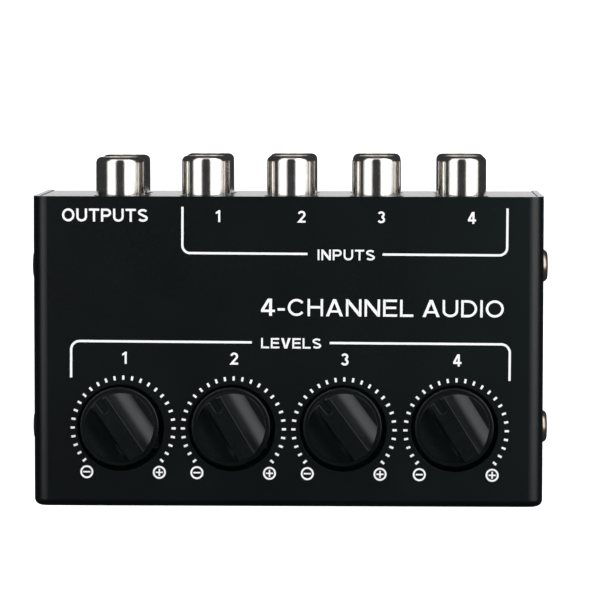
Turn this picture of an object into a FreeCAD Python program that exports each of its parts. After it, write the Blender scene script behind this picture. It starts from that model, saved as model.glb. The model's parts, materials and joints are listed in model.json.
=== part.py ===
import FreeCAD, Part
import math
import os
import re
import Sketcher
from FreeCAD import Placement, Rotation, Vector

# A four-channel passive stereo mixer in a folded sheet-steel box. Millimetres, +Z up, +X to the right
# of someone who faces the knobs, +Y towards the jacks on the rear panel. The origin is on the surface
# that the box stands on, at the centre of the whole object's outline.

doc = FreeCAD.newDocument("stereo_mixer")

# ---------------------------------------------------------------------------------------------
# Driving dimensions
# ---------------------------------------------------------------------------------------------

SIZES = [
    # the case
    ("case_width", 86.3),
    ("case_depth", 52.6),
    ("case_height", 29.5),
    ("sheet", 1.0),
    ("fit_gap", 0.1),
    ("side_bend", 2.5),
    ("front_bend", 1.2),
    ("hole_lip", 0.3),
    ("foot_height", 1.5),
    ("foot_radius", 4.0),
    ("foot_chamfer", 0.4),
    ("foot_x", 34.0),
    ("foot_y", 15.5),
    ("rear_bend", 0.8),
    ("panel_inset", 0.15),
    ("tab_width", 11.0),
    ("tab_height", 20.0),
    # cover screws, M3
    ("screw_spacing", 27.8),
    ("screw_level", 15.0),
    ("screw_radius", 1.45),
    ("screw_tapped", 1.5),
    ("screw_clearance", 1.7),
    ("screw_length", 5.0),
    ("screw_head", 2.8),
    ("screw_head_height", 1.2),
    ("screw_head_round", 0.9),
    ("cross_length", 3.2),
    ("cross_width", 0.75),
    ("cross_depth", 0.8),
    # circuit board
    ("board_bottom", 2.4),
    ("board_thick", 1.6),
    ("board_width", 80.4),
    ("board_front", 24.6),
    ("board_rear", 23.8),
    ("spacer_x", 36.5),
    ("spacer_y_front", 21.5),
    ("spacer_y_rear", 8.0),
    ("spacer_radius", 2.6),
    ("bolt_radius", 1.2),
    ("bolt_tapped", 1.25),
    ("bolt_clearance", 1.4),
    ("bolt_head", 2.3),
    ("bolt_head_height", 1.4),
    ("slot_width", 0.6),
    ("slot_depth", 0.6),
    ("resistor_length", 3.2),
    ("resistor_width", 1.6),
    ("resistor_height", 0.6),
    ("resistor_edge", 0.16),
    ("resistor_y", -1.5),
    ("resistor_spread", 2.6),
    ("pin_below", 0.8),
    ("pin_hole", 0.65),
    # level controls
    ("knob_pitch", 18.83),
    ("knob_shift", -0.15),
    ("knob_y", -12.55),
    ("knob_hole", 7.17),
    ("hole_offset_x", 0.1),
    ("hole_offset_y", -0.38),
    ("pot_half_x", 4.9),
    ("pot_half_y", 5.6),
    ("pot_height", 9.0),
    ("pot_cavity", 4.3),
    ("pot_floor", 0.8),
    ("pot_plate", 0.6),
    ("pot_bush", 3.6),
    ("pot_bush_bore", 3.05),
    ("pot_bush_height", 5.0),
    ("pot_leg_gap", 0.05),
    ("pot_leg_half", 1.6),
    ("track_low", 0.8),
    ("track_high", 4.6),
    ("track_thick", 0.7),
    ("track_outer", 4.25),
    ("track_inner", 2.0),
    ("wiper_lift", 0.35),
    ("wiper_thick", 0.8),
    ("wiper_outer", 3.9),
    ("brush_half", 0.5),
    ("spindle_radius", 1.5),
    ("spindle_bore", 1.52),
    ("shaft_radius", 3.0),
    ("shaft_collar", 3.7),
    ("shaft_collar_low", 7.9),
    ("shaft_collar_top", 8.6),
    ("shaft_bore", 3.03),
    ("key_gap", 0.03),
    ("shaft_flat", 1.5),
    ("shaft_flat_length", 7.0),
    ("shaft_above_face", 0.9),
    ("terminal_pitch", 2.5),
    ("terminal_width", 0.7),
    ("terminal_thick", 0.5),
    ("terminal_rise", 1.4),
    # knobs, measured from the outside of the cover
    ("knob_skirt", 6.65),
    ("knob_skirt_low", -1.4),
    ("knob_skirt_top", 1.9),
    ("knob_drum", 5.95),
    ("knob_top", 5.2),
    ("knob_top_radius", 5.8),
    ("knob_hub", 4.4),
    ("knob_hub_low", -4.5),
    ("knob_bore_top", 1.2),
    ("knob_bar", 2.87),
    ("knob_step", 2.15),
    ("knob_ledge", 0.12),
    ("knob_ledge_round", 0.06),
    ("scoop_radius", 4.5),
    ("scoop_reach", 4.29),
    ("scoop_rise", 1.35),
    ("mark_width", 1.15),
    ("mark_length", 2.5),
    ("mark_depth", 0.5),
    ("knob_edge", 0.2),
    ("bar_edge", 0.12),
    ("knob_turn_1", 34.5),
    ("knob_turn_2", 31.0),
    ("knob_turn_3", 36.5),
    ("knob_turn_4", 32.0),
    # phono jacks
    ("jack_low", 8.9),
    ("jack_high", 22.9),
    ("jack_middle", 15.9),
    ("jack_output_x", -28.7),
    ("jack_input_x", -14.07),
    ("jack_pitch", 14.48),
    ("jack_reach", 6.7),
    ("jack_output_setback", 0.25),
    ("jack_hole", 4.65),
    ("jack_boss", 4.55),
    ("jack_boss_recess", 0.15),
    ("shell_radius", 4.15),
    ("shell_shank", 3.85),
    ("shell_wall", 0.4),
    ("shell_lip", 3.1),
    ("shell_lip_thick", 0.6),
    ("shell_round", 0.95),
    ("shell_depth", 6.0),
    ("housing_bore", 3.9),
    ("housing_bore_depth", 8.2),
    ("housing_half", 5.2),
    ("housing_depth", 10.5),
    ("housing_over", 4.9),
    ("housing_chamfer", 0.5),
    ("insert_radius", 3.4),
    ("insert_nose", 3.0),
    ("insert_recess", 0.25),
    ("insert_step", 0.65),
    ("insert_back", 6.4),
    ("socket_radius", 1.65),
    ("sleeve_radius", 2.1),
    ("sleeve_pocket", 2.15),
    ("pocket_front", -1.0),
    ("sleeve_front", -1.05),
    ("sleeve_back", -6.0),
    ("tail_half", 0.4),
    ("tail_thick", 0.5),
    ("tail_low_y", -7.4),
    ("tail_high_y", -9.0),
    ("channel_half", 1.2),
    ("channel_front", -6.6),
    ("strap_x", 3.45),
    ("strap_width", 0.5),
    ("strap_back", -6.4),
    ("slot_gap", 0.05),
    ("socket_chamfer", 0.3),
    ("tapping_radius", 1.2),
    ("tapping_bore", 1.25),
    ("tapping_length", 7.0),
    ("tapping_clearance", 1.4),
    ("tapping_head", 1.9),
    ("tapping_head_height", 1.2),
    ("tapping_head_round", 0.4),
    ("tapping_cross", 0.75),
]

sheet = doc.addObject("Spreadsheet::Sheet", "Sizes")
for row, (alias, number) in enumerate(SIZES, start=1):
    sheet.set(f"A{row}", alias)
    sheet.set(f"B{row}", str(number))
    sheet.setAlias(f"B{row}", alias)
doc.recompute()

CHANNELS = (1, 2, 3, 4)
JACKS = {"output": "jack_output_x"}
for channel in CHANNELS:
    JACKS[f"input_{channel}"] = f"jack_input_x + {channel - 1} * jack_pitch"
ROWS = {"upper": "jack_high", "lower": "jack_low"}
SIDES = (-1, 1)

# heights and depths that several pieces share
CASE_SHIFT = "-jack_reach / 2"  # the jacks stand out behind, so the case sits forward of the origin
BOARD_TOP = "(board_bottom + board_thick)"
FACE_ABOVE_BOARD = f"case_height - {BOARD_TOP}"
PANEL_FACE = "case_depth / 2 - panel_inset"
JACK_TIP = "jack_reach + panel_inset"
STRAP_X = "strap_x + strap_width / 2"
STRAP_Y = "(strap_back + sleeve_back) / 2"


# ---------------------------------------------------------------------------------------------
# Helpers. Every size is a formula in the words of the sheet.
# ---------------------------------------------------------------------------------------------

def value(formula):
    """The number that a formula in the sheet's words comes to."""
    return float(sheet.evalExpression(formula))


def bind(thing, prop, formula):
    """Bind a property to a formula: each word in it is a cell of the sheet."""
    thing.setExpression(prop, re.sub(r"[a-z]\w+", lambda word: "Sizes." + word.group(), formula))


def new_body(label, x="0", y=CASE_SHIFT, z="foot_height", turn=0.0):
    """An empty body whose own origin is at the given place, turned about +Z by degrees."""
    body = doc.addObject("PartDesign::Body", label)
    body.Label = label
    body.Placement = Placement(Vector(0, 0, 0), Rotation(Vector(0, 0, 1), turn))
    for axis, formula in zip("xyz", (x, y, z)):
        bind(body, f"Placement.Base.{axis}", formula)
    return body


def new_sketch(body, role, name, offset="0"):
    """A sketch on one of the body's origin planes, moved along that plane's normal."""
    plane = next(item for item in body.Origin.OriginFeatures if item.Role == role)
    sketch = body.newObject("Sketcher::SketchObject", name)
    sketch.AttachmentSupport = (plane, [""])
    sketch.MapMode = "FlatFace"
    bind(sketch, "AttachmentOffset.Base.z", offset)
    return sketch


def pin_point(sketch, line, point, x, y):
    """Hold one point of a line or circle at formulas for x and y."""
    for kind, formula in (("DistanceX", x), ("DistanceY", y)):
        index = sketch.addConstraint(Sketcher.Constraint(kind, -1, 1, line, point, value(formula)))
        bind(sketch, f"Constraints[{index}]", formula)


def outline(sketch, corners):
    """A closed outline of straight lines through the corners, each a pair of formulas."""
    spots = [Vector(value(x), value(y), 0) for x, y in corners]
    first = sketch.GeometryCount
    count = len(corners)
    for index in range(count):
        sketch.addGeometry(Part.LineSegment(spots[index], spots[(index + 1) % count]), False)
    for index in range(count):
        following = first + (index + 1) % count
        sketch.addConstraint(Sketcher.Constraint("Coincident", first + index, 2, following, 1))
    for index, (x, y) in enumerate(corners):
        pin_point(sketch, first + index, 1, x, y)


def rectangle(sketch, left, bottom, right, top):
    outline(sketch, [(left, bottom), (right, bottom), (right, top), (left, top)])


def block(sketch, x, y, half_x, half_y):
    """A rectangle about a centre."""
    rectangle(sketch, f"{x} - {half_x}", f"{y} - {half_y}", f"{x} + {half_x}", f"{y} + {half_y}")


def circle(sketch, x, y, radius):
    centre = Vector(value(x), value(y), 0)
    line = sketch.addGeometry(Part.Circle(centre, Vector(0, 0, 1), value(radius)), False)
    pin_point(sketch, line, 3, x, y)
    index = sketch.addConstraint(Sketcher.Constraint("Radius", line, value(radius)))
    bind(sketch, f"Constraints[{index}]", radius)


def pad(body, name, sketch, length, down=False):
    feature = body.newObject("PartDesign::Pad", name)
    feature.Profile = sketch
    bind(feature, "Length", length)
    feature.Reversed = down
    sketch.Visibility = False
    body.Tip = feature
    return feature


def pocket(body, name, sketch, depth=None, up=False, both_ways=False):
    """Cut along the sketch's normal, against it unless up is set, and right through if depth is None."""
    feature = body.newObject("PartDesign::Pocket", name)
    feature.Profile = sketch
    if depth is None:
        feature.Type = "ThroughAll"
    else:
        bind(feature, "Length", depth)
    feature.Reversed = up
    if both_ways:
        feature.SideType = "Symmetric"
    body.Tip = feature
    return feature


def revolve(body, name, sketch, axis):
    feature = body.newObject("PartDesign::Revolution", name)
    feature.Profile = sketch
    feature.ReferenceAxis = (sketch, [axis])
    feature.Angle = 360
    body.Tip = feature
    return feature


def dress(body, kind, name, base, wanted, size):
    """A fillet or chamfer on the edges of a feature that the test wanted picks."""
    doc.recompute()
    names = [f"Edge{number}" for number, edge in enumerate(base.Shape.Edges, start=1) if wanted(edge)]
    feature = body.newObject(f"PartDesign::{kind}", name)
    feature.Base = (base, names)
    bind(feature, "Radius" if kind == "Fillet" else "Size", size)
    body.Tip = feature
    return feature


def near(number, formula, slack=0.01):
    return abs(number - value(formula)) < slack


def is_ring(edge, radius):
    """A whole circle of this radius."""
    return isinstance(edge.Curve, Part.Circle) and near(edge.Curve.Radius, radius)


def knob_x(channel):
    return f"knob_shift + {channel - 2.5} * knob_pitch"


# ---------------------------------------------------------------------------------------------
# Case: cover, tray, screws and feet. Their own origin is the centre of the case's underside.
# ---------------------------------------------------------------------------------------------

def make_top_cover():
    body = new_body("top_cover")
    sketch = new_sketch(body, "XY_Plane", "cover_outline")
    block(sketch, "0", "0", "case_width / 2", "case_depth / 2")
    shell = pad(body, "cover_block", sketch, "case_height")

    def on_side_bend(edge):
        middle = edge.CenterOfMass
        return near(middle.z, "case_height") and near(abs(middle.x), "case_width / 2")

    shell = dress(body, "Fillet", "cover_side_bends", shell, on_side_bend, "side_bend")

    def on_front_bend(edge):
        return near(edge.BoundBox.YMax, "-case_depth / 2") and not near(edge.BoundBox.ZMax, "0")

    shell = dress(body, "Fillet", "cover_front_bend", shell, on_front_bend, "front_bend")
    doc.recompute()
    open_faces = []
    for number, face in enumerate(shell.Shape.Faces, start=1):
        middle = face.CenterOfMass
        if near(middle.z, "0") or near(middle.y, "case_depth / 2"):
            open_faces.append(f"Face{number}")
    hollow = body.newObject("PartDesign::Thickness", "cover_sheet")
    hollow.Base = (shell, open_faces)
    bind(hollow, "Value", "sheet")
    hollow.Reversed = True
    body.Tip = hollow
    doc.recompute()
    holes = new_sketch(body, "XY_Plane", "knob_holes", "case_height")
    for channel in CHANNELS:
        circle(holes, f"{knob_x(channel)} + hole_offset_x", "knob_y + hole_offset_y", "knob_hole")
    cut = pocket(body, "knob_hole_cut", holes, "2 * sheet")

    def on_hole_lip(edge):
        return is_ring(edge, "knob_hole") and near(edge.CenterOfMass.z, "case_height")

    dress(body, "Fillet", "knob_hole_lips", cut, on_hole_lip, "hole_lip")
    screws = new_sketch(body, "YZ_Plane", "side_screw_holes")
    for side in SIDES:
        circle(screws, f"{side} * screw_spacing / 2", "screw_level", "screw_clearance")
    pocket(body, "side_screw_cut", screws, both_ways=True)
    return body


def make_bottom_tray():
    body = new_body("bottom_tray")
    half_width = "(case_width / 2 - sheet - fit_gap)"
    front = "-case_depth / 2 + sheet + fit_gap"
    sketch = new_sketch(body, "XY_Plane", "floor_outline")
    rectangle(sketch, f"-{half_width}", front, half_width, PANEL_FACE)
    pad(body, "floor", sketch, "sheet")
    sketch = new_sketch(body, "XY_Plane", "panel_outline")
    rectangle(sketch, f"-{half_width}", f"{PANEL_FACE} - sheet", half_width, PANEL_FACE)
    pad(body, "rear_panel", sketch, "case_height - sheet - fit_gap")
    sketch = new_sketch(body, "XY_Plane", "tab_outlines")
    for side in SIDES:
        for end in SIDES:
            block(
                sketch,
                f"{side} * (case_width / 2 - 1.5 * sheet - fit_gap)",
                f"{end} * screw_spacing / 2",
                "sheet / 2",
                "tab_width / 2",
            )
    tray = pad(body, "side_tabs", sketch, "tab_height")

    def on_panel_corner(edge):
        middle = edge.CenterOfMass
        along_y = near(edge.BoundBox.YLength, "sheet")
        return along_y and near(abs(middle.x), half_width) and near(middle.z, "case_height - sheet - fit_gap")

    tray = dress(body, "Fillet", "panel_corners", tray, on_panel_corner, "side_bend")

    def on_rear_bend(edge):
        middle = edge.CenterOfMass
        return near(middle.z, "0") and near(middle.y, PANEL_FACE)

    dress(body, "Fillet", "rear_bend", tray, on_rear_bend, "rear_bend")
    holes = new_sketch(body, "XZ_Plane", "jack_holes")
    for x in JACKS.values():
        for level in ROWS.values():
            circle(holes, x, level, "jack_hole")
        circle(holes, x, "jack_middle", "tapping_clearance")
    pocket(body, "jack_hole_cut", holes)
    holes = new_sketch(body, "YZ_Plane", "tab_holes")
    for side in SIDES:
        circle(holes, f"{side} * screw_spacing / 2", "screw_level", "screw_tapped")
    pocket(body, "tab_hole_cut", holes, both_ways=True)
    holes = new_sketch(body, "XY_Plane", "floor_holes", "sheet")
    for x, y in spacer_places():
        circle(holes, x, y, "bolt_tapped")
    pocket(body, "floor_hole_cut", holes, "2 * sheet")
    return body


def make_cover_screws():
    body = new_body("cover_screws")
    for side in SIDES:
        for end in SIDES:
            tag = f"{'left' if side < 0 else 'right'}_{'front' if end < 0 else 'rear'}"
            place = (f"{end} * screw_spacing / 2", "screw_level")
            head = new_sketch(body, "YZ_Plane", f"head_{tag}", f"{side} * case_width / 2")
            circle(head, *place, "screw_head")
            pad(body, f"head_pad_{tag}", head, "screw_head_height", down=side < 0)
            shank = new_sketch(body, "YZ_Plane", f"shank_{tag}", f"{side} * case_width / 2")
            circle(shank, *place, "screw_radius")
            pad(body, f"shank_pad_{tag}", shank, "screw_length", down=side > 0)
    outer = "case_width / 2 + screw_head_height"

    def on_head_edge(edge):
        return is_ring(edge, "screw_head") and near(abs(edge.CenterOfMass.x), outer)

    dress(body, "Fillet", "head_rounds", body.Tip, on_head_edge, "screw_head_round")
    for side in SIDES:
        tag = "left" if side < 0 else "right"
        cross = new_sketch(body, "YZ_Plane", f"cross_{tag}", f"{side} * ({outer})")
        for end in SIDES:
            cross_outline(cross, f"{end} * screw_spacing / 2", "screw_level")
        pocket(body, f"cross_cut_{tag}", cross, "cross_depth", up=side < 0)
    return body


def cross_outline(sketch, x, y, scale="1"):
    """The cross recess of a screw head, as one outline of twelve corners."""
    long, short = f"{scale} * cross_length / 2", f"{scale} * cross_width / 2"
    arms = [
        (long, -1, short), (long, 1, short), (short, 1, short), (short, 1, long),
        (f"-{short}", 1, long), (f"-{short}", 1, short), (f"-{long}", 1, short), (f"-{long}", -1, short),
        (f"-{short}", -1, short), (f"-{short}", -1, long), (short, -1, long), (short, -1, short),
    ]
    outline(sketch, [(f"{x} + ({right})", f"{y} + {sign} * {up}") for right, sign, up in arms])


def make_rubber_feet():
    body = new_body("rubber_feet", z="0")
    sketch = new_sketch(body, "XY_Plane", "foot_outlines")
    for side in SIDES:
        for end in SIDES:
            circle(sketch, f"{side} * foot_x", f"{end} * foot_y", "foot_radius")
    feet = pad(body, "feet", sketch, "foot_height")
    dress(body, "Chamfer", "foot_edges", feet, lambda edge: near(edge.CenterOfMass.z, "0"), "foot_chamfer")
    return body


# ---------------------------------------------------------------------------------------------
# Circuit board and what holds it
# ---------------------------------------------------------------------------------------------

def spacer_places():
    """The four places where the board is screwed to the tray."""
    for side in SIDES:
        yield f"{side} * spacer_x", "-spacer_y_front"
        yield f"{side} * spacer_x", "spacer_y_rear"


def terminal_places():
    """The six pins of a level control, from its shaft: three in front and three behind."""
    for side in SIDES:
        for step in (-1, 0, 1):
            yield f"{step} * terminal_pitch", f"{side} * (pot_half_y + terminal_thick / 2)"


def make_main_board():
    body = new_body("main_board")
    sketch = new_sketch(body, "XY_Plane", "board_outline", "board_bottom")
    rectangle(sketch, "-board_width / 2", "-board_front", "board_width / 2", "board_rear")
    pad(body, "board", sketch, "board_thick")
    bolts = new_sketch(body, "XY_Plane", "bolt_holes", BOARD_TOP)
    for x, y in spacer_places():
        circle(bolts, x, y, "bolt_clearance")
    pocket(body, "bolt_hole_cut", bolts)
    pins = new_sketch(body, "XY_Plane", "pot_pin_holes", BOARD_TOP)
    for channel in CHANNELS:
        for x, y in terminal_places():
            circle(pins, f"{knob_x(channel)} + {x}", f"knob_y + {y}", "pin_hole")
    pocket(body, "pot_pin_cut", pins)
    legs = new_sketch(body, "XY_Plane", "pot_leg_slots", BOARD_TOP)
    leg_x = "(pot_half_x + pot_leg_gap + pot_plate / 2)"
    for channel in CHANNELS:
        for side in SIDES:
            block(
                legs, f"{knob_x(channel)} + {side} * {leg_x}", "knob_y",
                "(pot_plate / 2 + fit_gap)", "(pot_leg_half + fit_gap)",
            )
    pocket(body, "pot_leg_cut", legs)
    tails = new_sketch(body, "XY_Plane", "jack_pin_holes", BOARD_TOP)
    for name, x in JACKS.items():
        setback = jack_setback(name)
        for tail in ("tail_low_y", "tail_high_y"):
            circle(tails, x, f"{PANEL_FACE} - {setback} + {tail} + tail_thick / 2", "pin_hole")
        circle(tails, f"{x} + {STRAP_X}", f"{PANEL_FACE} - {setback} + {STRAP_Y}", "pin_hole")
    pocket(body, "jack_pin_cut", tails)
    return body


def make_board_spacers():
    body = new_body("board_spacers")
    sketch = new_sketch(body, "XY_Plane", "spacer_outlines", "sheet")
    for x, y in spacer_places():
        circle(sketch, x, y, "spacer_radius")
        circle(sketch, x, y, "bolt_clearance")
    pad(body, "spacers", sketch, "board_bottom - sheet")
    return body


def make_board_screws():
    body = new_body("board_screws")
    heads = new_sketch(body, "XY_Plane", "head_outlines", BOARD_TOP)
    shanks = new_sketch(body, "XY_Plane", "shank_outlines", BOARD_TOP)
    slots = new_sketch(body, "XY_Plane", "slot_outlines", f"{BOARD_TOP} + bolt_head_height")
    for x, y in spacer_places():
        circle(heads, x, y, "bolt_head")
        circle(shanks, x, y, "bolt_radius")
        block(slots, x, y, "bolt_head", "slot_width / 2")
    pad(body, "heads", heads, "bolt_head_height")
    pad(body, "shanks", shanks, f"{BOARD_TOP} - fit_gap", down=True)
    pocket(body, "slots", slots, "slot_depth")
    return body


def make_mixing_resistors():
    body = new_body("mixing_resistors")
    sketch = new_sketch(body, "XY_Plane", "resistor_outlines", BOARD_TOP)
    for channel in CHANNELS:
        for side in SIDES:
            block(
                sketch, f"{knob_x(channel)} + {side} * resistor_spread", "resistor_y",
                "resistor_length / 2", "resistor_width / 2",
            )
    chips = pad(body, "resistors", sketch, "resistor_height")

    def on_top(edge):
        return near(edge.BoundBox.ZMin, f"{BOARD_TOP} + resistor_height")

    dress(body, "Chamfer", "resistor_edges", chips, on_top, "resistor_edge")
    return body


# ---------------------------------------------------------------------------------------------
# Level controls. Their own origin is on the shaft's axis, at the top of the board.
# ---------------------------------------------------------------------------------------------

def new_pot_body(label, channel, turn=0.0):
    return new_body(
        label, knob_x(channel), f"knob_y + {CASE_SHIFT}", f"foot_height + {BOARD_TOP}", turn
    )


def make_pot_case(channel):
    body = new_pot_body(f"pot_case_{channel}", channel)
    sketch = new_sketch(body, "XY_Plane", "case_outline")
    block(sketch, "0", "0", "pot_half_x", "pot_half_y")
    pad(body, "case_block", sketch, "pot_height")
    cavity = new_sketch(body, "XY_Plane", "cavity_outline", "pot_height")
    circle(cavity, "0", "0", "pot_cavity")
    pocket(body, "cavity", cavity, "pot_height - pot_floor")
    return body


def make_pot_bracket(channel):
    """The steel top plate with its bushing and the two legs that are soldered to the board."""
    body = new_pot_body(f"pot_bracket_{channel}", channel)
    plate = new_sketch(body, "XY_Plane", "plate_outline", "pot_height")
    outer = "(pot_half_x + pot_leg_gap + pot_plate)"
    block(plate, "0", "0", outer, "pot_half_y")
    pad(body, "plate", plate, "pot_plate")
    bush = new_sketch(body, "XY_Plane", "bush_outline", "pot_height")
    circle(bush, "0", "0", "pot_bush")
    pad(body, "bush", bush, "pot_plate + pot_bush_height")
    legs = new_sketch(body, "XY_Plane", "leg_outlines", "pot_height + pot_plate")
    for side in SIDES:
        block(legs, f"{side} * ({outer} - pot_plate / 2)", "0", "pot_plate / 2", "pot_leg_half")
    pad(body, "legs", legs, "pot_height + pot_plate + board_thick + pin_below", down=True)
    bore = new_sketch(body, "XY_Plane", "bore_outline", "pot_height + pot_plate + pot_bush_height")
    circle(bore, "0", "0", "pot_bush_bore")
    pocket(body, "bore", bore, "pot_plate + pot_bush_height + sheet")
    return body


def make_pot_shaft(channel):
    body = new_pot_body(f"pot_shaft_{channel}", channel, knob_turn(channel))
    top = f"{FACE_ABOVE_BOARD} + shaft_above_face"
    profile = new_sketch(body, "XZ_Plane", "shaft_profile")
    outline(profile, [
        ("0", "pot_floor + wiper_lift"),
        ("spindle_radius", "pot_floor + wiper_lift"),
        ("spindle_radius", "shaft_collar_low"),
        ("shaft_collar", "shaft_collar_low"),
        ("shaft_collar", "shaft_collar_top"),
        ("shaft_radius", "shaft_collar_top"),
        ("shaft_radius", f"{top} - hole_lip"),
        ("shaft_radius - hole_lip", top),
        ("0", top),
    ])
    revolve(body, "shaft", profile, "V_Axis")
    flat = new_sketch(body, "XY_Plane", "flat_outline", top)
    rectangle(flat, "-2 * shaft_radius", "-2 * shaft_radius", "2 * shaft_radius", "-shaft_flat")
    pocket(body, "flat", flat, "shaft_flat_length")
    return body


def make_pot_wipers(channel):
    """Two discs pressed on the spindle, each with a brush that reaches towards its track."""
    body = new_pot_body(f"pot_wipers_{channel}", channel, knob_turn(channel))
    for track in ("track_low", "track_high"):
        under = f"{track} + track_thick + wiper_lift"
        disc = new_sketch(body, "XY_Plane", f"disc_{track}", under)
        circle(disc, "0", "0", "wiper_outer")
        circle(disc, "0", "0", "spindle_bore")
        pad(body, f"disc_pad_{track}", disc, "wiper_thick")
        brush = new_sketch(body, "XY_Plane", f"brush_{track}", under)
        block(brush, "0", "(track_inner + wiper_outer) / 2", "brush_half", "brush_half")
        pad(body, f"brush_pad_{track}", brush, "wiper_lift / 2", down=True)
    return body


def make_pot_tracks():
    body = new_body("pot_tracks", z=f"foot_height + {BOARD_TOP}")
    for track in ("track_low", "track_high"):
        rings = new_sketch(body, "XY_Plane", f"ring_{track}", track)
        for channel in CHANNELS:
            circle(rings, knob_x(channel), "knob_y", "track_outer")
            circle(rings, knob_x(channel), "knob_y", "track_inner")
        pad(body, f"ring_pad_{track}", rings, "track_thick")
    return body


def make_pot_terminals():
    body = new_body("pot_terminals", z=f"foot_height + {BOARD_TOP}")
    sketch = new_sketch(body, "XY_Plane", "terminal_outlines", "-board_thick - pin_below")
    for channel in CHANNELS:
        for x, y in terminal_places():
            block(
                sketch, f"{knob_x(channel)} + {x}", f"knob_y + {y}",
                "terminal_width / 2", "terminal_thick / 2",
            )
    pad(body, "terminals", sketch, "board_thick + pin_below + terminal_rise")
    return body


def knob_turn(channel):
    return value(f"knob_turn_{channel}")


def scoop_outline(sketch):
    """One scoop, seen along the grip bar: an arc down from the bar's edge, then a flat step."""
    centre = ("knob_bar / 2 + scoop_reach", "knob_top + scoop_rise")
    arc_end = "knob_bar / 2 + scoop_reach - scoop_radius / 4"  # a first guess: its height decides it
    corners = [
        ("knob_bar / 2", "knob_top"),
        (arc_end, "knob_step"),
        ("2 * knob_skirt", "knob_step"),
        ("2 * knob_skirt", "2 * knob_top"),
        ("knob_bar / 2", "2 * knob_top"),
    ]
    spots = [Vector(value(x), value(y), 0) for x, y in corners]
    middle = Vector(value(centre[0]), value(centre[1]), 0)
    angles = [math.atan2(spot.y - middle.y, spot.x - middle.x) for spot in spots[:2]]
    whole = Part.Circle(middle, Vector(0, 0, 1), value("scoop_radius"))
    arc = sketch.addGeometry(Part.ArcOfCircle(whole, *angles), False)
    pin_point(sketch, arc, 3, *centre)
    index = sketch.addConstraint(Sketcher.Constraint("Radius", arc, value("scoop_radius")))
    bind(sketch, f"Constraints[{index}]", "scoop_radius")
    count = len(corners)
    for number in range(1, count):
        sketch.addGeometry(Part.LineSegment(spots[number], spots[(number + 1) % count]), False)
    for number in range(count):
        following = arc + (number + 1) % count
        sketch.addConstraint(Sketcher.Constraint("Coincident", arc + number, 2, following, 1))
    for point, height in ((1, "knob_top"), (2, "knob_step")):
        index = sketch.addConstraint(Sketcher.Constraint("DistanceY", -1, 1, arc, point, value(height)))
        bind(sketch, f"Constraints[{index}]", height)
    for number in range(2, count):
        pin_point(sketch, arc + number, 1, *corners[number])


def make_knob(channel):
    """A pointer knob: a skirt at the level of the cover, a low drum, and a grip bar between two scoops."""
    body = new_body(
        f"knob_{channel}", knob_x(channel), f"knob_y + {CASE_SHIFT}", "foot_height + case_height",
        knob_turn(channel),
    )
    profile = new_sketch(body, "XZ_Plane", "knob_profile")
    outline(profile, [
        ("0", "knob_hub_low"),
        ("knob_hub", "knob_hub_low"),
        ("knob_hub", "knob_skirt_low"),
        ("knob_skirt", "knob_skirt_low"),
        ("knob_skirt", "knob_skirt_top"),
        ("knob_drum", "knob_skirt_top"),
        ("knob_drum", "knob_step"),
        ("knob_drum - knob_ledge", "knob_step"),
        ("knob_top_radius", "knob_top"),
        ("0", "knob_top"),
    ])
    solid = revolve(body, "knob_body", profile, "V_Axis")

    def on_rim(edge):
        on_skirt = is_ring(edge, "knob_skirt") and near(edge.CenterOfMass.z, "knob_skirt_top")
        return on_skirt or is_ring(edge, "knob_top_radius") and near(edge.CenterOfMass.z, "knob_top")

    solid = dress(body, "Fillet", "knob_rims", solid, on_rim, "knob_edge")

    def on_ledge(edge):
        return is_ring(edge, "knob_drum") and near(edge.CenterOfMass.z, "knob_step")

    dress(body, "Fillet", "ledge_round", solid, on_ledge, "knob_ledge_round")
    scoop = new_sketch(body, "XZ_Plane", "scoop_outline")
    scoop_outline(scoop)
    cut = pocket(body, "scoop_cut", scoop, both_ways=True)
    pair = body.newObject("PartDesign::PolarPattern", "scoop_pair")
    pair.Originals = [cut]
    pair.Axis = (next(item for item in body.Origin.OriginFeatures if item.Role == "Z_Axis"), [""])
    pair.Angle = 360
    pair.Occurrences = 2
    body.Tip = pair

    def on_bar_edge(edge):
        middle = edge.CenterOfMass
        return near(abs(middle.x), "knob_bar / 2") and near(middle.z, "knob_top")

    dress(body, "Fillet", "bar_edges", pair, on_bar_edge, "bar_edge")
    mark = new_sketch(body, "XY_Plane", "mark_slot", "knob_top")
    rectangle(
        mark, "-mark_width / 2", "knob_top_radius - mark_length + mark_width / 2",
        "mark_width / 2", "knob_skirt",
    )
    pocket(body, "mark_cut", mark, "mark_depth")
    end = new_sketch(body, "XY_Plane", "mark_end", "knob_top")
    circle(end, "0", "knob_top_radius - mark_length + mark_width / 2", "mark_width / 2")
    marked = pocket(body, "mark_end_cut", end, "mark_depth")

    def on_mark_edge(edge):
        middle = edge.CenterOfMass
        level = near(edge.BoundBox.ZMin, "knob_top") and near(edge.BoundBox.ZMax, "knob_top")
        beside = abs(middle.x) < value("mark_width") and middle.y > 0
        return level and beside and middle.y < value("knob_top_radius - 2 * knob_edge")

    dress(body, "Fillet", "mark_edges", marked, on_mark_edge, "bar_edge")
    bore = new_sketch(body, "XY_Plane", "bore_outline", "knob_hub_low")
    circle(bore, "0", "0", "shaft_bore")
    pocket(body, "bore", bore, "knob_bore_top - knob_hub_low", up=True)
    key = new_sketch(body, "XY_Plane", "key_outline", "knob_hub_low")
    rectangle(key, "-shaft_bore", "-shaft_bore", "shaft_bore", "-shaft_flat - key_gap")
    pad(body, "key", key, "knob_bore_top - knob_hub_low")
    return body


# ---------------------------------------------------------------------------------------------
# Phono jacks. Their own origin is on the case's underside, below the jack and at the panel's face.
# ---------------------------------------------------------------------------------------------

def jack_setback(name):
    """How far behind the panel a jack column sits: the output pair stands out a little less."""
    return "jack_output_setback" if name == "output" else "0"


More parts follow.
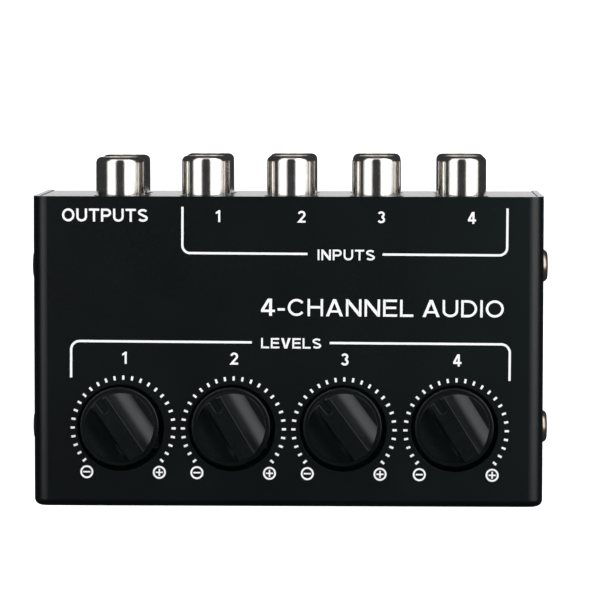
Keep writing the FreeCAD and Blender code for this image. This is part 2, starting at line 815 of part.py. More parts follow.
def new_jack_body(label, name):
    return new_body(label, JACKS[name], f"{PANEL_FACE} - {jack_setback(name)} + {CASE_SHIFT}")


def make_jack_housing(name):
    """The moulded block behind the panel, with a bore for each barrel and a channel for the tails."""
    body = new_jack_body(f"jack_housing_{name}", name)
    back = "-sheet - housing_depth"
    sketch = new_sketch(body, "XY_Plane", "housing_outline", BOARD_TOP)
    rectangle(sketch, "-housing_half", back, "housing_half", "-sheet")
    solid = pad(body, "housing_block", sketch, f"jack_high + housing_over - {BOARD_TOP}")

    def on_upright_corner(edge):
        return edge.BoundBox.ZLength > value("jack_middle") and near(edge.CenterOfMass.y, back)

    dress(body, "Chamfer", "housing_corners", solid, on_upright_corner, "housing_chamfer")
    bosses = new_sketch(body, "XZ_Plane", "boss_circles", "sheet")
    bores = new_sketch(body, "XZ_Plane", "bore_circles", "jack_boss_recess")
    for level in ROWS.values():
        circle(bosses, "0", level, "jack_boss")
        circle(bores, "0", level, "housing_bore")
    pad(body, "bosses", bosses, "sheet - jack_boss_recess", down=True)
    pocket(body, "bores", bores, "housing_bore_depth - jack_boss_recess", up=True)
    pilot = new_sketch(body, "XZ_Plane", "pilot_circle", "sheet")
    circle(pilot, "0", "jack_middle", "tapping_bore")
    pocket(body, "pilot_hole", pilot, "tapping_length", up=True)
    channel = new_sketch(body, "XY_Plane", "channel_outline", "case_height")
    rectangle(channel, "-channel_half", f"{back} - sheet", "channel_half", "channel_front")
    rectangle(
        channel, "strap_x - slot_gap", "strap_back - slot_gap",
        "strap_x + strap_width + slot_gap", "sleeve_back + slot_gap",
    )
    pocket(body, "channel", channel)
    return body


def make_jack_shell(row, name):
    """A nickel-plated barrel that starts at the panel's face, on a narrower shank in the housing."""
    body = new_jack_body(f"jack_shell_{row}_{name}", name)
    inner = "shell_shank - shell_wall"
    root = jack_setback(name)
    profile = new_sketch(body, "XY_Plane", "shell_profile", ROWS[row])
    outline(profile, [
        (inner, "-shell_depth"),
        ("shell_shank", "-shell_depth"),
        ("shell_shank", root),
        ("shell_radius", root),
        ("shell_radius", JACK_TIP),
        ("shell_lip", JACK_TIP),
        ("shell_lip", f"{JACK_TIP} - shell_lip_thick"),
        (inner, f"{JACK_TIP} - shell_lip_thick"),
    ])
    solid = revolve(body, "shell", profile, "V_Axis")

    def on_rim(edge):
        return is_ring(edge, "shell_radius") and near(edge.CenterOfMass.y, JACK_TIP)

    dress(body, "Fillet", "rim", solid, on_rim, "shell_round")
    return body


def make_jack_insert(row, name):
    """The insulator inside a barrel: a socket for the plug's pin, and a pocket for the sleeve."""
    body = new_jack_body(f"jack_insert_{row}_{name}", name)
    front = f"{JACK_TIP} - insert_recess"
    step = f"{JACK_TIP} - insert_step"
    profile = new_sketch(body, "XY_Plane", "insert_profile", ROWS[row])
    outline(profile, [
        ("sleeve_pocket", "-insert_back"),
        ("insert_radius", "-insert_back"),
        ("insert_radius", step),
        ("insert_nose", step),
        ("insert_nose", front),
        ("socket_radius", front),
        ("socket_radius", "pocket_front"),
        ("sleeve_pocket", "pocket_front"),
    ])
    solid = revolve(body, "insert", profile, "V_Axis")

    def on_mouth(edge):
        return is_ring(edge, "socket_radius") and near(edge.CenterOfMass.y, front)

    dress(body, "Chamfer", "mouth", solid, on_mouth, "socket_chamfer")
    return body


def make_jack_terminals():
    """A spring sleeve with its tail for each socket, and a ground strap for each stacked pair."""
    body = new_body("jack_terminals")
    foot = "board_bottom - pin_below"
    for name, x in JACKS.items():
        origin = f"{PANEL_FACE} - {jack_setback(name)}"
        sleeves = new_sketch(body, "XZ_Plane", f"sleeves_{name}", f"-({origin} + sleeve_back)")
        discs = new_sketch(body, "XZ_Plane", f"discs_{name}", f"-({origin} + sleeve_back)")
        for level in ROWS.values():
            circle(sleeves, x, level, "sleeve_radius")
            circle(sleeves, x, level, "socket_radius")
            circle(discs, x, level, "sleeve_radius")
        pad(body, f"sleeve_pad_{name}", sleeves, "sleeve_front - sleeve_back", down=True)
        pad(body, f"disc_pad_{name}", discs, "tail_thick")
        for row, level in ROWS.items():
            tail_y = "tail_high_y" if row == "upper" else "tail_low_y"
            link = new_sketch(body, "XZ_Plane", f"link_{row}_{name}", f"-({origin} + sleeve_back)")
            block(link, x, level, "tail_half", "tail_thick / 2")
            pad(body, f"link_pad_{row}_{name}", link, f"sleeve_back - {tail_y}")
            tail = new_sketch(body, "XY_Plane", f"tail_{row}_{name}", foot)
            block(tail, x, f"{origin} + {tail_y} + tail_thick / 2", "tail_half", "tail_thick / 2")
            pad(body, f"tail_pad_{row}_{name}", tail, f"{level} + tail_thick / 2 - ({foot})")
        strap = new_sketch(body, "XY_Plane", f"strap_{name}", foot)
        rectangle(
            strap, f"{x} + strap_x", f"{origin} + strap_back",
            f"{x} + strap_x + strap_width", f"{origin} + sleeve_back",
        )
        pad(body, f"strap_pad_{name}", strap, f"jack_high + sheet - ({foot})")
    return body


def make_jack_screws():
    body = new_body("jack_screws")
    heads = new_sketch(body, "XZ_Plane", "head_outlines", f"-({PANEL_FACE})")
    shanks = new_sketch(body, "XZ_Plane", "shank_outlines", f"-({PANEL_FACE})")
    crosses = new_sketch(body, "XZ_Plane", "cross_outlines", f"-({PANEL_FACE} + tapping_head_height)")
    for x in JACKS.values():
        circle(heads, x, "jack_middle", "tapping_head")
        circle(shanks, x, "jack_middle", "tapping_radius")
        cross_outline(crosses, x, "jack_middle", "tapping_cross")
    solid = pad(body, "heads", heads, "tapping_head_height", down=True)
    front = f"{PANEL_FACE} + tapping_head_height"
    dress(
        body, "Fillet", "head_rounds", solid,
        lambda edge: near(edge.CenterOfMass.y, front), "tapping_head_round",
    )
    pad(body, "shanks", shanks, "tapping_length")
    pocket(body, "crosses", crosses, "cross_depth", up=True)
    return body


# ---------------------------------------------------------------------------------------------
# Build, check and write every piece
# ---------------------------------------------------------------------------------------------

parts = [make_top_cover(), make_bottom_tray(), make_cover_screws(), make_rubber_feet()]
parts += [make_main_board(), make_board_spacers(), make_board_screws(), make_mixing_resistors()]
for channel in CHANNELS:
    parts += [make_pot_case(channel), make_pot_bracket(channel), make_pot_shaft(channel)]
    parts += [make_pot_wipers(channel), make_knob(channel)]
parts += [make_pot_tracks(), make_pot_terminals()]
for name in JACKS:
    parts.append(make_jack_housing(name))
    for row in ROWS:
        parts += [make_jack_shell(row, name), make_jack_insert(row, name)]
parts += [make_jack_terminals(), make_jack_screws()]

doc.recompute()
for item in doc.Objects:
    if "Invalid" in item.State or "Error" in item.State:
        raise RuntimeError(f"{item.Label} did not build: {item.State}")
for part in parts:
    if part.Shape.isNull() or not part.Shape.isValid():
        raise RuntimeError(f"{part.Label} has no valid shape")

os.makedirs("parts", exist_ok=True)
for part in parts:
    part.Shape.exportStep(f"parts/{part.Label}.step")
    print(f"{part.Label}: {len(part.Shape.Solids)} solids, {part.Shape.Volume:.1f} cubic mm")
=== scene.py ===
import json
import math

import bpy
from mathutils import Matrix, Vector


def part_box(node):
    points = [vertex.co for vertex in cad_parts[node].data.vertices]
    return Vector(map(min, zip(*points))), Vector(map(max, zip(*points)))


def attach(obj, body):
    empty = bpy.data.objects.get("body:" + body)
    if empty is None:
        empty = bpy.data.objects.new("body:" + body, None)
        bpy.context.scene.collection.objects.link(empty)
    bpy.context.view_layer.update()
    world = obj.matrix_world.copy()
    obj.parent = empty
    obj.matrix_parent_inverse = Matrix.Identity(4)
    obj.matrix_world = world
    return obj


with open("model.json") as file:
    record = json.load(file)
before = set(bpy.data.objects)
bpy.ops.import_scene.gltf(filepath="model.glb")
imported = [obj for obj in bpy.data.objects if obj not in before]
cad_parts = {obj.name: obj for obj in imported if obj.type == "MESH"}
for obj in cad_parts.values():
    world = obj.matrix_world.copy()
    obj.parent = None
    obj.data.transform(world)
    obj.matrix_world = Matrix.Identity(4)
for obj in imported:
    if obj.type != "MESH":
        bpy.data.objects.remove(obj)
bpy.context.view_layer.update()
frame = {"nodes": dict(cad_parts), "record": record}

MM = 0.001
CHASSIS = "chassis"

# ---------------------------------------------------------------------------------------------
# Places, all read from the frame
# ---------------------------------------------------------------------------------------------

cover_low, cover_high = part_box("top_cover")
FACE_Z = cover_high.z
FACE_Y = (cover_low.y + cover_high.y) / 2
REAR_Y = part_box("bottom_tray")[1].y


# ---------------------------------------------------------------------------------------------
# Camera, floor and lights
# ---------------------------------------------------------------------------------------------

CAMERA_ABOVE_FACE = 590 * MM
CAMERA_OFFSET = Vector((16.0 * MM, 49.9 * MM))  # where the camera stands, seen from the face's centre
AIM_OFFSET = Vector((2.04 * MM, 8.85 * MM))  # what it is aimed at, on the face
LENS = 210.5
SENSOR_WIDTH = 36
ROLL = math.radians(0.05)
NEAREST_SEEN = 0.01
FURTHEST_SEEN = 20

SOFTBOX_DISTANCE = 0.7
SOFTBOX_FRONT = -0.10
SOFTBOX_REAR = 1.30
RIGHT, LEFT = 1, -1
SOFTBOXES = (  # name, side, nearest and furthest angle from the vertical, radiance
    ("softbox_right", RIGHT, 20, 82, 1.25),
    ("softbox_right_core", RIGHT, 27, 68, 1.3),
    ("softbox_left", LEFT, 19, 64, 0.95),
    ("softbox_left_core", LEFT, 25, 56, 0.9),
)
CARD_WIDTH = 3 * cover_high.x  # the card is the strip of lit floor that the rear panel mirrors
CARD_DEPTH = 18 * MM
SHEEN_COLOUR = (0.45, 1.0, 1.12)
ROOM_COLOUR = (0.9, 0.95, 1.0)
ROOM_STRENGTH = 0.045
FLOOR_HALF = 3.0
FLOOR_GLOW = 0.80


def look_at(thing, place, target):
    """Put a camera or light at a place, with its -Z axis towards the target and +Y of the frame upwards."""
    thing.location = place
    back = (Vector(place) - Vector(target)).normalized()
    side = Vector((0, 1, 0)).cross(back).normalized()
    up = back.cross(side)
    thing.rotation_euler = Matrix((side, up, back)).transposed().to_euler()


def make_camera():
    """A long lens above the face, a little to the rear and right of its centre."""
    data = bpy.data.cameras.new("camera")
    data.lens = LENS
    data.sensor_width = SENSOR_WIDTH
    data.clip_start = NEAREST_SEEN
    data.clip_end = FURTHEST_SEEN
    camera = bpy.data.objects.new("camera", data)
    bpy.context.scene.collection.objects.link(camera)
    place = Vector((CAMERA_OFFSET.x, FACE_Y + CAMERA_OFFSET.y, FACE_Z + CAMERA_ABOVE_FACE))
    look_at(camera, place, (AIM_OFFSET.x, FACE_Y + AIM_OFFSET.y, FACE_Z))
    camera.rotation_euler.rotate_axis("Z", ROLL)
    bpy.context.scene.camera = camera


def add_panel(name, place, target, width, height, radiance, glossy=True):
    """A flat rectangular light of a given brightness, whatever its size."""
    data = bpy.data.lights.new(name, "AREA")
    data.shape = "RECTANGLE"
    data.size = width
    data.size_y = height
    data.energy = radiance * math.pi * width * height
    light = bpy.data.objects.new(name, data)
    bpy.context.scene.collection.objects.link(light)
    look_at(light, place, target)
    light.visible_glossy = glossy
    return light


def add_softbox(name, side, nearest, furthest, radiance):
    """A softbox to one side of the object that spans two angles from the vertical, in degrees."""
    middle = math.radians((nearest + furthest) / 2)
    half = math.radians((furthest - nearest) / 2)
    depth = (SOFTBOX_FRONT + SOFTBOX_REAR) / 2
    place = Vector((
        side * SOFTBOX_DISTANCE * math.sin(middle), depth, FACE_Z + SOFTBOX_DISTANCE * math.cos(middle),
    ))
    width = 2 * SOFTBOX_DISTANCE * math.tan(half)
    return add_panel(name, place, (0, depth, FACE_Z), width, SOFTBOX_REAR - SOFTBOX_FRONT, radiance)


def light_only(light, names):
    """Let a light reach only the named CAD nodes."""
    lit = bpy.data.collections.new(f"lit_by_{light.name}")
    for name in names:
        lit.objects.link(frame["nodes"][name])
    light.light_linking.receiver_collection = lit


def make_lights():
    """Two softboxes, each brighter in its middle, a board behind, a fill, and two lights for single nodes."""
    for name, side, nearest, furthest, radiance in SOFTBOXES:
        add_softbox(name, side, nearest, furthest, radiance)
    add_panel("rear_board", (0, 1.3, 0.45), (0, 0, FACE_Z), width=1.8, height=0.8, radiance=0.6)
    add_panel("overhead_fill", (0, -0.1, 1.2), (0, 0, 0), width=1.2, height=1.2, radiance=1.9, glossy=False)
    sheen = add_softbox("cover_sheen", RIGHT, nearest=8, furthest=20, radiance=0.5)
    sheen.data.color = SHEEN_COLOUR
    light_only(sheen, ["top_cover"])
    middle = REAR_Y + CARD_DEPTH / 2
    card = add_panel("rear_card", (0, middle, MM), (0, middle, 1), CARD_WIDTH, CARD_DEPTH, radiance=1.55)
    card.visible_camera = False
    card.visible_diffuse = False
    light_only(card, ["bottom_tray", "top_cover"])


def make_world():
    """White where the camera looks past the floor, and dim where the object would mirror it."""
    world = bpy.data.worlds.new("studio")
    bpy.context.scene.world = world
    world.use_nodes = True
    nodes, links = world.node_tree.nodes, world.node_tree.links
    nodes.clear()
    output = nodes.new("ShaderNodeOutputWorld")
    mix = nodes.new("ShaderNodeMixShader")
    dim = nodes.new("ShaderNodeBackground")
    dim.inputs["Color"].default_value = (*ROOM_COLOUR, 1)
    dim.inputs["Strength"].default_value = ROOM_STRENGTH
    white = nodes.new("ShaderNodeBackground")
    white.inputs["Color"].default_value = (1, 1, 1, 1)
    white.inputs["Strength"].default_value = 1.0
    path = nodes.new("ShaderNodeLightPath")
    links.new(path.outputs["Is Camera Ray"], mix.inputs["Fac"])
    links.new(dim.outputs[0], mix.inputs[1])
    links.new(white.outputs[0], mix.inputs[2])
    links.new(mix.outputs[0], output.inputs["Surface"])


# ---------------------------------------------------------------------------------------------
# Materials
# ---------------------------------------------------------------------------------------------

class Surface:
    """A Principled material, with short ways to add grain in millimetres."""

    def __init__(self, name, colour, roughness, metallic=0.0, **sockets):
        self.material = bpy.data.materials.new(name)
        self.material.use_nodes = True
        self.nodes = self.material.node_tree.nodes
        self.links = self.material.node_tree.links
        self.shader = self.nodes["Principled BSDF"]
        self.shader.inputs["Base Color"].default_value = (*colour, 1)
        self.shader.inputs["Roughness"].default_value = roughness
        self.shader.inputs["Metallic"].default_value = metallic
        for socket, number in sockets.items():
            self.shader.inputs[socket.replace("_", " ")].default_value = number
        self.colour = colour
        self.height = None

    def spot(self, stretch=(1, 1, 1)):
        """Object coordinates in millimetres, with each axis divided by its stretch."""
        place = self.nodes.new("ShaderNodeTexCoord")
        scale = self.nodes.new("ShaderNodeMapping")
        scale.inputs["Scale"].default_value = [1 / (MM * step) for step in stretch]
        self.links.new(place.outputs["Object"], scale.inputs["Vector"])
        return scale.outputs["Vector"]

    def noise(self, size_mm, stretch=(1, 1, 1), detail=3.0):
        """A value from 0 to 1 that wanders over about this many millimetres."""
        texture = self.nodes.new("ShaderNodeTexNoise")
        texture.inputs["Scale"].default_value = 1 / size_mm
        texture.inputs["Detail"].default_value = detail
        self.links.new(self.spot(stretch), texture.inputs["Vector"])
        return texture.outputs["Fac"]

    def ramp(self, value, low, high, start=0.0, end=1.0):
        """Map a value from low..high to start..end, held at both ends."""
        node = self.nodes.new("ShaderNodeMapRange")
        for socket, number in zip(("From Min", "From Max", "To Min", "To Max"), (low, high, start, end)):
            node.inputs[socket].default_value = number
        self.links.new(value, node.inputs["Value"])
        return node.outputs["Result"]

    def vary_roughness(self, value, low, high):
        """Let the roughness follow a value."""
        self.links.new(self.ramp(value, 0.3, 0.7, low, high), self.shader.inputs["Roughness"])

    def vary_colour(self, value, other, low=0.35, high=0.65):
        """Blend from the base colour to another as a value goes from low to high."""
        mix = self.nodes.new("ShaderNodeMix")
        mix.data_type = "RGBA"
        base = self.shader.inputs["Base Color"]
        if base.links:
            self.links.new(base.links[0].from_socket, mix.inputs["A"])
        else:
            mix.inputs["A"].default_value = (*self.colour, 1)
        mix.inputs["B"].default_value = (*other, 1)
        self.links.new(self.ramp(value, low, high), mix.inputs["Factor"])
        self.links.new(mix.outputs["Result"], base)

    def specks(self, size_mm, share, colour):
        """Sparse round specks, such as dust."""
        cells = self.nodes.new("ShaderNodeTexVoronoi")
        cells.inputs["Scale"].default_value = 1 / size_mm
        self.links.new(self.spot(), cells.inputs["Vector"])
        near = self.ramp(cells.outputs["Distance"], share, share * 0.6)
        self.vary_colour(near, colour, 0.0, 1.0)

    def bump(self, value, depth_mm, strength=1.0):
        """Raise the surface where a value is high, on top of the bumps that it already has."""
        node = self.nodes.new("ShaderNodeBump")
        node.inputs["Distance"].default_value = depth_mm * MM
        node.inputs["Strength"].default_value = strength
        self.links.new(value, node.inputs["Height"])
        if self.height is not None:
            self.links.new(self.height, node.inputs["Normal"])
        self.height = node.outputs["Normal"]
        self.links.new(self.height, self.shader.inputs["Normal"])


def black_coat():
    """Satin black paint on steel: a fine grain, a little orange peel and a few dust specks."""
    surface = Surface("black_coat", (0.0003, 0.0010, 0.0012), 0.31, Specular_IOR_Level=0.42)
    surface.vary_colour(surface.noise(14, detail=2), (0.0008, 0.0019, 0.0022))
    surface.specks(1.6, 0.035, (0.05, 0.055, 0.06))
    surface.vary_roughness(surface.noise(0.5), 0.28, 0.34)
    surface.bump(surface.noise(1.8, detail=1), 0.010, 0.5)
    surface.bump(surface.noise(0.16), 0.004, 0.7)
    return surface.material


def knob_plastic():
    """Black satin moulding with a very fine grain."""
    surface = Surface("knob_plastic", (0.0008, 0.0020, 0.0023), 0.31, Specular_IOR_Level=0.40)
    surface.vary_colour(surface.noise(4), (0.0020, 0.0034, 0.0038))
    surface.vary_roughness(surface.noise(0.4), 0.27, 0.35)
    surface.bump(surface.noise(0.12), 0.004, 0.8)
    return surface.material


def nickel():
    """Bright nickel plate over a turned barrel, with faint rings from the tool."""
    surface = Surface("nickel", (0.80, 0.775, 0.74), 0.13, metallic=1.0)
    rings = surface.noise(0.09, stretch=(40, 1, 40), detail=2)
    surface.vary_roughness(rings, 0.09, 0.19)
    surface.vary_colour(surface.noise(2.5), (0.70, 0.67, 0.63))
    surface.bump(rings, 0.0012, 0.6)
    surface.bump(surface.noise(1.6, detail=1), 0.006, 0.4)
    return surface.material


def plated(name, colour, roughness):
    """Nickel or tin plate on small hardware."""
    surface = Surface(name, colour, roughness, metallic=1.0)
    surface.vary_colour(surface.noise(0.9), tuple(0.72 * part for part in colour))
    surface.vary_roughness(surface.noise(0.35), roughness * 0.8, roughness * 1.35)
    surface.bump(surface.noise(0.25), 0.004, 0.6)
    return surface.material


def moulded(name, colour, roughness, shade=0.75, grain_mm=0.2):
    """Moulded plastic or rubber with an even grain."""
    surface = Surface(name, colour, roughness)
    surface.vary_colour(surface.noise(3), tuple(shade * part for part in colour))
    surface.vary_roughness(surface.noise(0.6), roughness * 0.88, roughness * 1.12)
    surface.bump(surface.noise(grain_mm), 0.005, 0.7)
    return surface.material


def board_mask():
    """Green solder mask, with the weave of the laminate faintly under it."""
    surface = Surface("board", (0.016, 0.10, 0.035), 0.32, Coat_Weight=0.4, Coat_Roughness=0.15)
    surface.vary_colour(surface.noise(6), (0.012, 0.075, 0.028))
    wave = surface.nodes.new("ShaderNodeTexWave")
    wave.inputs["Scale"].default_value = 1.1
    surface.links.new(surface.spot(), wave.inputs["Vector"])
    surface.vary_roughness(surface.noise(0.8), 0.28, 0.38)
    surface.bump(wave.outputs["Fac"], 0.004, 0.5)
    return surface.material


def white_ink():
    """Screen-printed ink: nearly solid, with pinholes and a slightly rough top."""
    surface = Surface("white_ink", (0.84, 0.85, 0.85), 0.5)
    surface.vary_colour(surface.noise(0.22), (0.74, 0.75, 0.75), 0.55, 0.8)
    surface.vary_roughness(surface.noise(0.3), 0.42, 0.6)
    surface.bump(surface.noise(0.1), 0.003, 0.6)
    return surface.material


MATERIALS = {
    "black_coat": black_coat(),
    "knob_plastic": knob_plastic(),
    "nickel": nickel(),
    "screw_steel": plated("screw_steel", (0.50, 0.43, 0.36), 0.30),
    "bracket_steel": plated("bracket_steel", (0.62, 0.62, 0.60), 0.30),
    "tin": plated("tin", (0.70, 0.68, 0.64), 0.22),
    "black_screw": plated("black_screw", (0.05, 0.05, 0.052), 0.30),
    "rubber": moulded("rubber", (0.018, 0.018, 0.018), 0.75, grain_mm=0.35),
    "board": board_mask(),
    "chip": moulded("chip", (0.03, 0.03, 0.034), 0.4),
    "track": moulded("track", (0.012, 0.012, 0.012), 0.55),
    "pot_plastic": moulded("pot_plastic", (0.035, 0.036, 0.042), 0.45),
    "shaft_plastic": moulded("shaft_plastic", (0.70, 0.68, 0.62), 0.42, shade=0.9),
    "wiper_plastic": moulded("wiper_plastic", (0.30, 0.16, 0.08), 0.45),
    "jack_plastic": moulded("jack_plastic", (0.014, 0.014, 0.015), 0.42),
    "insert_white": moulded("insert_white", (0.80, 0.80, 0.77), 0.30, shade=0.93),
    "white_ink": white_ink(),
}


def paint_frame():
    """Give each CAD node the material of its slot in the record."""
    for entry in frame["record"]["subparts"]:
        node = frame["nodes"][entry["node"]]
        node.data.materials.clear()
        node.data.materials.append(MATERIALS[entry["material_slot"]])


def make_floor():
    """An even white floor that glows a little, so that it fades into the white behind it."""
    surface = Surface("floor", (0.86, 0.86, 0.86), 0.8)
    surface.vary_colour(surface.noise(60), (0.88, 0.88, 0.88))
    surface.shader.inputs["Emission Color"].default_value = (1, 1, 1, 1)
    surface.shader.inputs["Emission Strength"].default_value = FLOOR_GLOW
    mesh = bpy.data.meshes.new("floor")
    corners = [(x * FLOOR_HALF, y * FLOOR_HALF, 0) for x, y in ((-1, -1), (1, -1), (1, 1), (-1, 1))]
    mesh.from_pydata(corners, [], [(0, 1, 2, 3)])
    mesh.materials.append(surface.material)
    floor = bpy.data.objects.new("floor", mesh)
    bpy.context.scene.collection.objects.link(floor)
    floor.visible_glossy = False


# ---------------------------------------------------------------------------------------------
# Printing on the face: thin raised ink, drawn from strokes. Millimetres from the face's centre.
# ---------------------------------------------------------------------------------------------

INK_HEIGHT = 0.03
INK_SUNK = 0.01
PRINT_TURN = Matrix.Rotation(math.radians(-0.30), 2)  # the print is a little askew on the face
BOLD = 0.17  # the width of a letter's strokes, as a share of its height
TITLE_BOLD = 0.142


class Ink:
    """Flat shapes that become one mesh of closed prisms on the face."""

    def __init__(self, name):
        self.name = name
        self.points = []
        self.faces = []

    def prism(self, loop):
        """A closed prism over an outline of (x, y) points that runs anticlockwise."""
        first, count = len(self.points), len(loop)
        spots = [PRINT_TURN @ Vector(point) for point in loop]
        for height in (-INK_SUNK, INK_HEIGHT):
            self.points += [(spot.x * MM, FACE_Y + spot.y * MM, FACE_Z + height * MM) for spot in spots]
        self.faces.append([first + index for index in reversed(range(count))])
        self.faces.append([first + count + index for index in range(count)])
        for index in range(count):
            after = (index + 1) % count
            self.faces.append([first + index, first + after, first + count + after, first + count + index])

    def stroke(self, path, width, closed=False):
        """A line of even width along a path, with square ends, or a closed ring."""
        left, right = [], []
        count = len(path)
        for index, point in enumerate(path):
            before = path[index - 1] if closed or index > 0 else None
            after = path[(index + 1) % count] if closed or index < count - 1 else None
            normal = mitre(before, point, after)
            left.append((point[0] + normal[0] * width / 2, point[1] + normal[1] * width / 2))
            right.append((point[0] - normal[0] * width / 2, point[1] - normal[1] * width / 2))
        if not closed:
            self.prism(right + left[::-1])
            return
        for index in range(count):
            after = (index + 1) % count
            self.prism([right[index], right[after], left[after], left[index]])

    def finish(self):
        """Make the mesh, which rides on the chassis."""
        mesh = bpy.data.meshes.new(self.name)
        mesh.from_pydata(self.points, [], self.faces)
        mesh.materials.append(MATERIALS["white_ink"])
        piece = bpy.data.objects.new(self.name, mesh)
        bpy.context.scene.collection.objects.link(piece)
        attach(piece, CHASSIS)


def mitre(before, point, after):
    """The sideways direction at a path's point, stretched so that the stroke keeps its width in a bend."""
    sides = []
    for start, end in ((before, point), (point, after)):
        if start is not None and end is not None:
            along = Vector((end[0] - start[0], end[1] - start[1])).normalized()
            sides.append(Vector((-along.y, along.x)))
    middle = (sides[0] + sides[-1]).normalized()
    return middle / middle.dot(sides[0])


def arc(x, y, radius_x, radius_y, start, end, steps=10):
    """Points on an ellipse from one angle to another, in degrees."""
    angles = [math.radians(start + (end - start) * index / steps) for index in range(steps + 1)]
    return [(x + radius_x * math.cos(angle), y + radius_y * math.sin(angle)) for angle in angles]


def ring(x, y, radius_x, radius_y, points):
    """Evenly spaced points all round an ellipse, for a closed stroke."""
    return arc(x, y, radius_x, radius_y, 0, 360 - 360 / points, points - 1)


def bowl(left, low, high, reach, half):
    """The half-round stroke of a P: out to the right from one height and back at another."""
    radius = (high - low) / 2
    return [(left, high), *arc(reach - radius - half, (low + high) / 2, radius, radius, 90, -90), (left, low)]


def glyph_s():
    """Two bowls that face opposite ways, joined by a short slope."""
    upper = arc(0.37, 0.725, 0.275, 0.18, 25, 250)
    lower = arc(0.37, 0.275, 0.285, 0.18, 70, -155)
    return [*upper, *lower]


def glyph_a(bold):
    """Two legs that meet in the middle, and a bar between them."""
    middle = 0.42
    leg = 1.06 * bold
    lean = middle - leg / 2
    fork = (middle - leg) / lean
    low, high = 0.22, 0.22 + 0.88 * bold
    return [
        [(0, 0), (leg, 0), (middle, fork), (middle, 1), (lean, 1)],
        [(2 * middle - leg, 0), (2 * middle, 0), (2 * middle - lean, 1), (middle, 1), (middle, fork)],
        [
            (leg + lean * low, low), (2 * middle - leg - lean * low, low),
            (2 * middle - leg - lean * high, high), (leg + lean * high, high),
        ],
    ]


def glyph_4(bold):
    """A stem, a bar on each side of it and a slope up to its top."""
    low, high = 0.29 - bold / 2, 0.29 + bold / 2
    left, right = 0.54 - bold, 0.54
    foot = 1.12 * bold
    reach = 0.33
    slope = reach / (1 - high)
    return [
        [(left, 0), (right, 0), (right, 1), (left, 1)],
        [(0, low), (left, low), (left, high), (0, high)],
        [(right, low), (0.68, low), (0.68, high), (right, high)],
        [(0, high), (foot, high), (left, high + (left - foot) / slope), (left, 1), (reach, 1)],
    ]


def make_glyphs(bold):
    """Each letter's width, its strokes (paths along the middle of the stroke) and its solid outlines.

    The pieces of a letter meet edge to edge, because tops that overlap in one plane would show stripes.
    """
    half = bold / 2
    top = 1 - half
    wide = 0.78
    stem = [(half, 0), (half, 1)]
    right_stem = [(wide - half, 0), (wide - half, 1)]
    return {
        "I": (bold, [stem], []),
        "L": (0.66, [stem, [(bold, half), (0.66, half)]], []),
        "E": (0.70, [
            stem, [(bold, half), (0.70, half)], [(bold, 0.52), (0.65, 0.52)], [(bold, top), (0.69, top)],
        ], []),
        "T": (0.74, [[(0, top), (0.74, top)], [(0.37, 0), (0.37, 1 - bold)]], []),
        "H": (wide, [stem, right_stem, [(bold, 0.52), (wide - bold, 0.52)]], []),
        "U": (wide, [
            [(half, 1), *arc(wide / 2, 0.37, wide / 2 - half, 0.37 - half, 180, 360), (wide - half, 1)],
        ], []),
        "O": (0.90, [ring(0.45, 0.5, 0.45 - half, 0.5 - half, 60)], []),
        "C": (0.84, [arc(0.44, 0.5, 0.44 - half, 0.5 - half, 38, 322, 24)], []),
        "D": (0.80, [
            stem, [(bold, top), *arc(0.33, 0.5, 0.47 - half, 0.5 - half, 90, -90, 16), (bold, half)],
        ], []),
        "P": (0.74, [stem, bowl(bold, 0.45, top, 0.74, half)], []),
        "S": (0.74, [glyph_s()], []),
        "N": (wide, [stem, right_stem], [
            [(bold, 1 - 2 * bold), (wide - bold, 0), (wide - bold, 2 * bold), (bold, 1)],
        ]),
        "V": (wide, [], [[(0, 1), (0.28, 0), (0.50, 0), (wide, 1), (0.57, 1), (wide / 2, 0.27), (0.21, 1)]]),
        "A": (0.84, [], glyph_a(bold)),
        "-": (0.36, [[(0, 0.38), (0.36, 0.38)]], []),
        "1": (0.40, [[(0.40 - half, 0), (0.40 - half, 1)]], [
            [(0.02, 0.68), (0.40 - bold, 0.75), (0.40 - bold, 0.96), (0.02, 0.82)],
        ]),
        "2": (0.66, [[*arc(0.33, 0.69, 0.24, 0.31 - half, 168, -28), (0.12, half), (0.66, half)]], []),
        "3": (0.66, [[
            *arc(0.32, 0.73, 0.21, 0.27 - half, 160, -62), *arc(0.32, 0.29, 0.24, 0.29 - half, 62, -160),
        ]], []),
        "4": (0.68, [], glyph_4(bold)),
    }


GLYPH_GAP = 0.13
SPACE = 0.32


def word_length(word, glyphs):
    """How long a word is at a letter height of 1."""
    gaps = [SPACE if letter == " " else glyphs[letter][0] + GLYPH_GAP for letter in word]
    return sum(gaps) - GLYPH_GAP


def write(name, words, bold=BOLD):
    """Print words: each is (text, x of its middle, y of its baseline, letter height, whole width or None)."""
    ink = Ink(name)
    glyphs = make_glyphs(bold)
    for text, middle, baseline, height, width in words:
        squeeze = 1 if width is None else width / (word_length(text, glyphs) * height)
        pen = middle - word_length(text, glyphs) * height * squeeze / 2

        def place(point):
            return (pen + point[0] * height * squeeze, baseline + point[1] * height)

        for letter in text:
            if letter == " ":
                pen += SPACE * height * squeeze
                continue
            advance, strokes, outlines = glyphs[letter]
            for path in strokes:
                ink.stroke([place(point) for point in path], bold * height, closed=letter == "O")
            for loop in outlines:
                ink.prism([place(point) for point in loop])
            pen += (advance + GLYPH_GAP) * height * squeeze
    ink.finish()


BRACKET_LINE = 0.39
CORNER_STEPS = 10


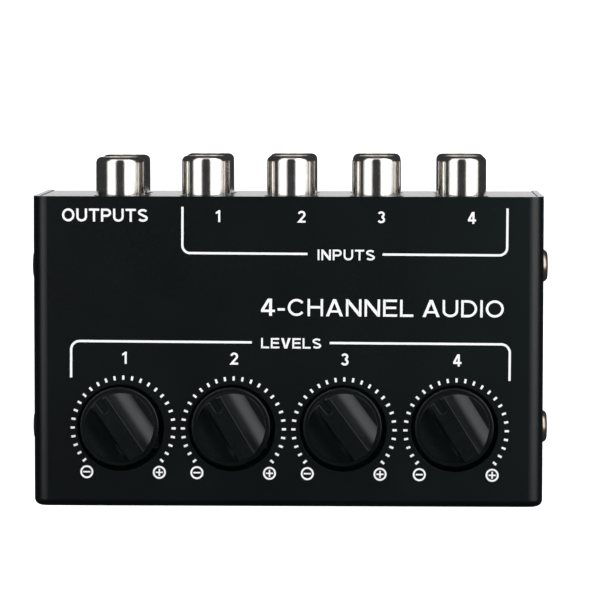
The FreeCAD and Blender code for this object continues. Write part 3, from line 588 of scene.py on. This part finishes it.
def bracket(name, left, right, rail, left_end, right_end, gap, radius):
    """A square bracket with round corners and a gap in its rail for a word."""
    ink = Ink(name)
    turn = 1 if left_end > rail else -1
    for side, end, inner in ((left, left_end, gap[0]), (right, right_end, gap[1])):
        inward = 1 if side == left else -1
        centre = (side + inward * radius, rail + turn * radius)
        corner = [
            (centre[0] - inward * radius * math.cos(angle), centre[1] - turn * radius * math.sin(angle))
            for angle in [math.radians(90 * step / CORNER_STEPS) for step in range(CORNER_STEPS + 1)]
        ]
        path = [(side, end), *corner, (inner, rail)]
        if inward * turn < 0:
            path.reverse()
        ink.stroke(path, BRACKET_LINE)
    ink.finish()


TICKS = range(-130, 131, 10)
TICK_RADIUS = 8.55
TICK_LENGTH = 0.71
TICK_WIDTH = 0.37
SIGN_RADIUS = 0.95
SIGN_LINE = 0.31
SIGN_BAR = 0.26
SIGN_ARM = 0.6
SIGN_REACH = 6.15
SIGN_DROP = 7.51
SCALE_X = (-27.81, -9.14, 9.56, 28.50)  # the print is slightly out of step with the knobs
SCALE_Y = -13.07


def print_scale(number, x, y):
    """The ticks round a knob, a ringed minus at its left foot and a ringed plus at its right."""
    ink = Ink(f"print_scale_{number}")
    for angle in TICKS:
        out = Vector((math.sin(math.radians(angle)), math.cos(math.radians(angle))))
        ends = [TICK_RADIUS - TICK_LENGTH / 2, TICK_RADIUS + TICK_LENGTH / 2]
        ink.stroke([(x + out.x * reach, y + out.y * reach) for reach in ends], TICK_WIDTH)
    sign_y = y - SIGN_DROP
    for sign_x, plus in ((x - SIGN_REACH, False), (x + SIGN_REACH, True)):
        ink.stroke(ring(sign_x, sign_y, SIGN_RADIUS, SIGN_RADIUS, 36), SIGN_LINE, closed=True)
        ink.stroke([(sign_x - SIGN_ARM, sign_y), (sign_x + SIGN_ARM, sign_y)], SIGN_BAR)
        if plus:
            for way in (-1, 1):
                ends = [sign_y + way * SIGN_BAR / 2, sign_y + way * SIGN_ARM]
                ink.stroke([(sign_x, end) for end in ends], SIGN_BAR)
    ink.finish()


def print_face():
    """All the words, numbers and lines on the face, with the scales round the knobs."""
    write("print_outputs", [("OUTPUTS", -30.98, 21.85, 2.2, 14.5)])
    digits = zip("1234", (-11.93, 2.19, 15.6, 30.85))
    write("print_input_numbers", [(digit, x, 21.92, 2.0, None) for digit, x in digits])
    write("print_inputs", [("INPUTS", 9.74, 15.62, 1.8, 9.7)])
    bracket("print_input_bracket", -17.9, 36.8, 16.65, 24.45, 24.55, (3.2, 15.85), 1.3)
    write("print_title", [("4-CHANNEL AUDIO", 15.9, 6.15, 2.9, 40.95)], TITLE_BOLD)
    write("print_levels", [("LEVELS", 0.55, 0.65, 1.75, 10.2)])
    bracket("print_level_bracket", -36.65, 37.42, 1.63, -4.55, -4.55, (-6.1, 7.05), 1.45)
    digits = zip("1234", (-27.65, -9.07, 9.62, 28.6))
    write("print_level_numbers", [(digit, x, -2.17, 2.05, None) for digit, x in digits])
    for number, x in enumerate(SCALE_X, start=1):
        print_scale(number, x, SCALE_Y)


make_camera()
make_world()
make_lights()
make_floor()
paint_frame()
print_face()
bpy.context.scene.view_settings.view_transform = "Standard"
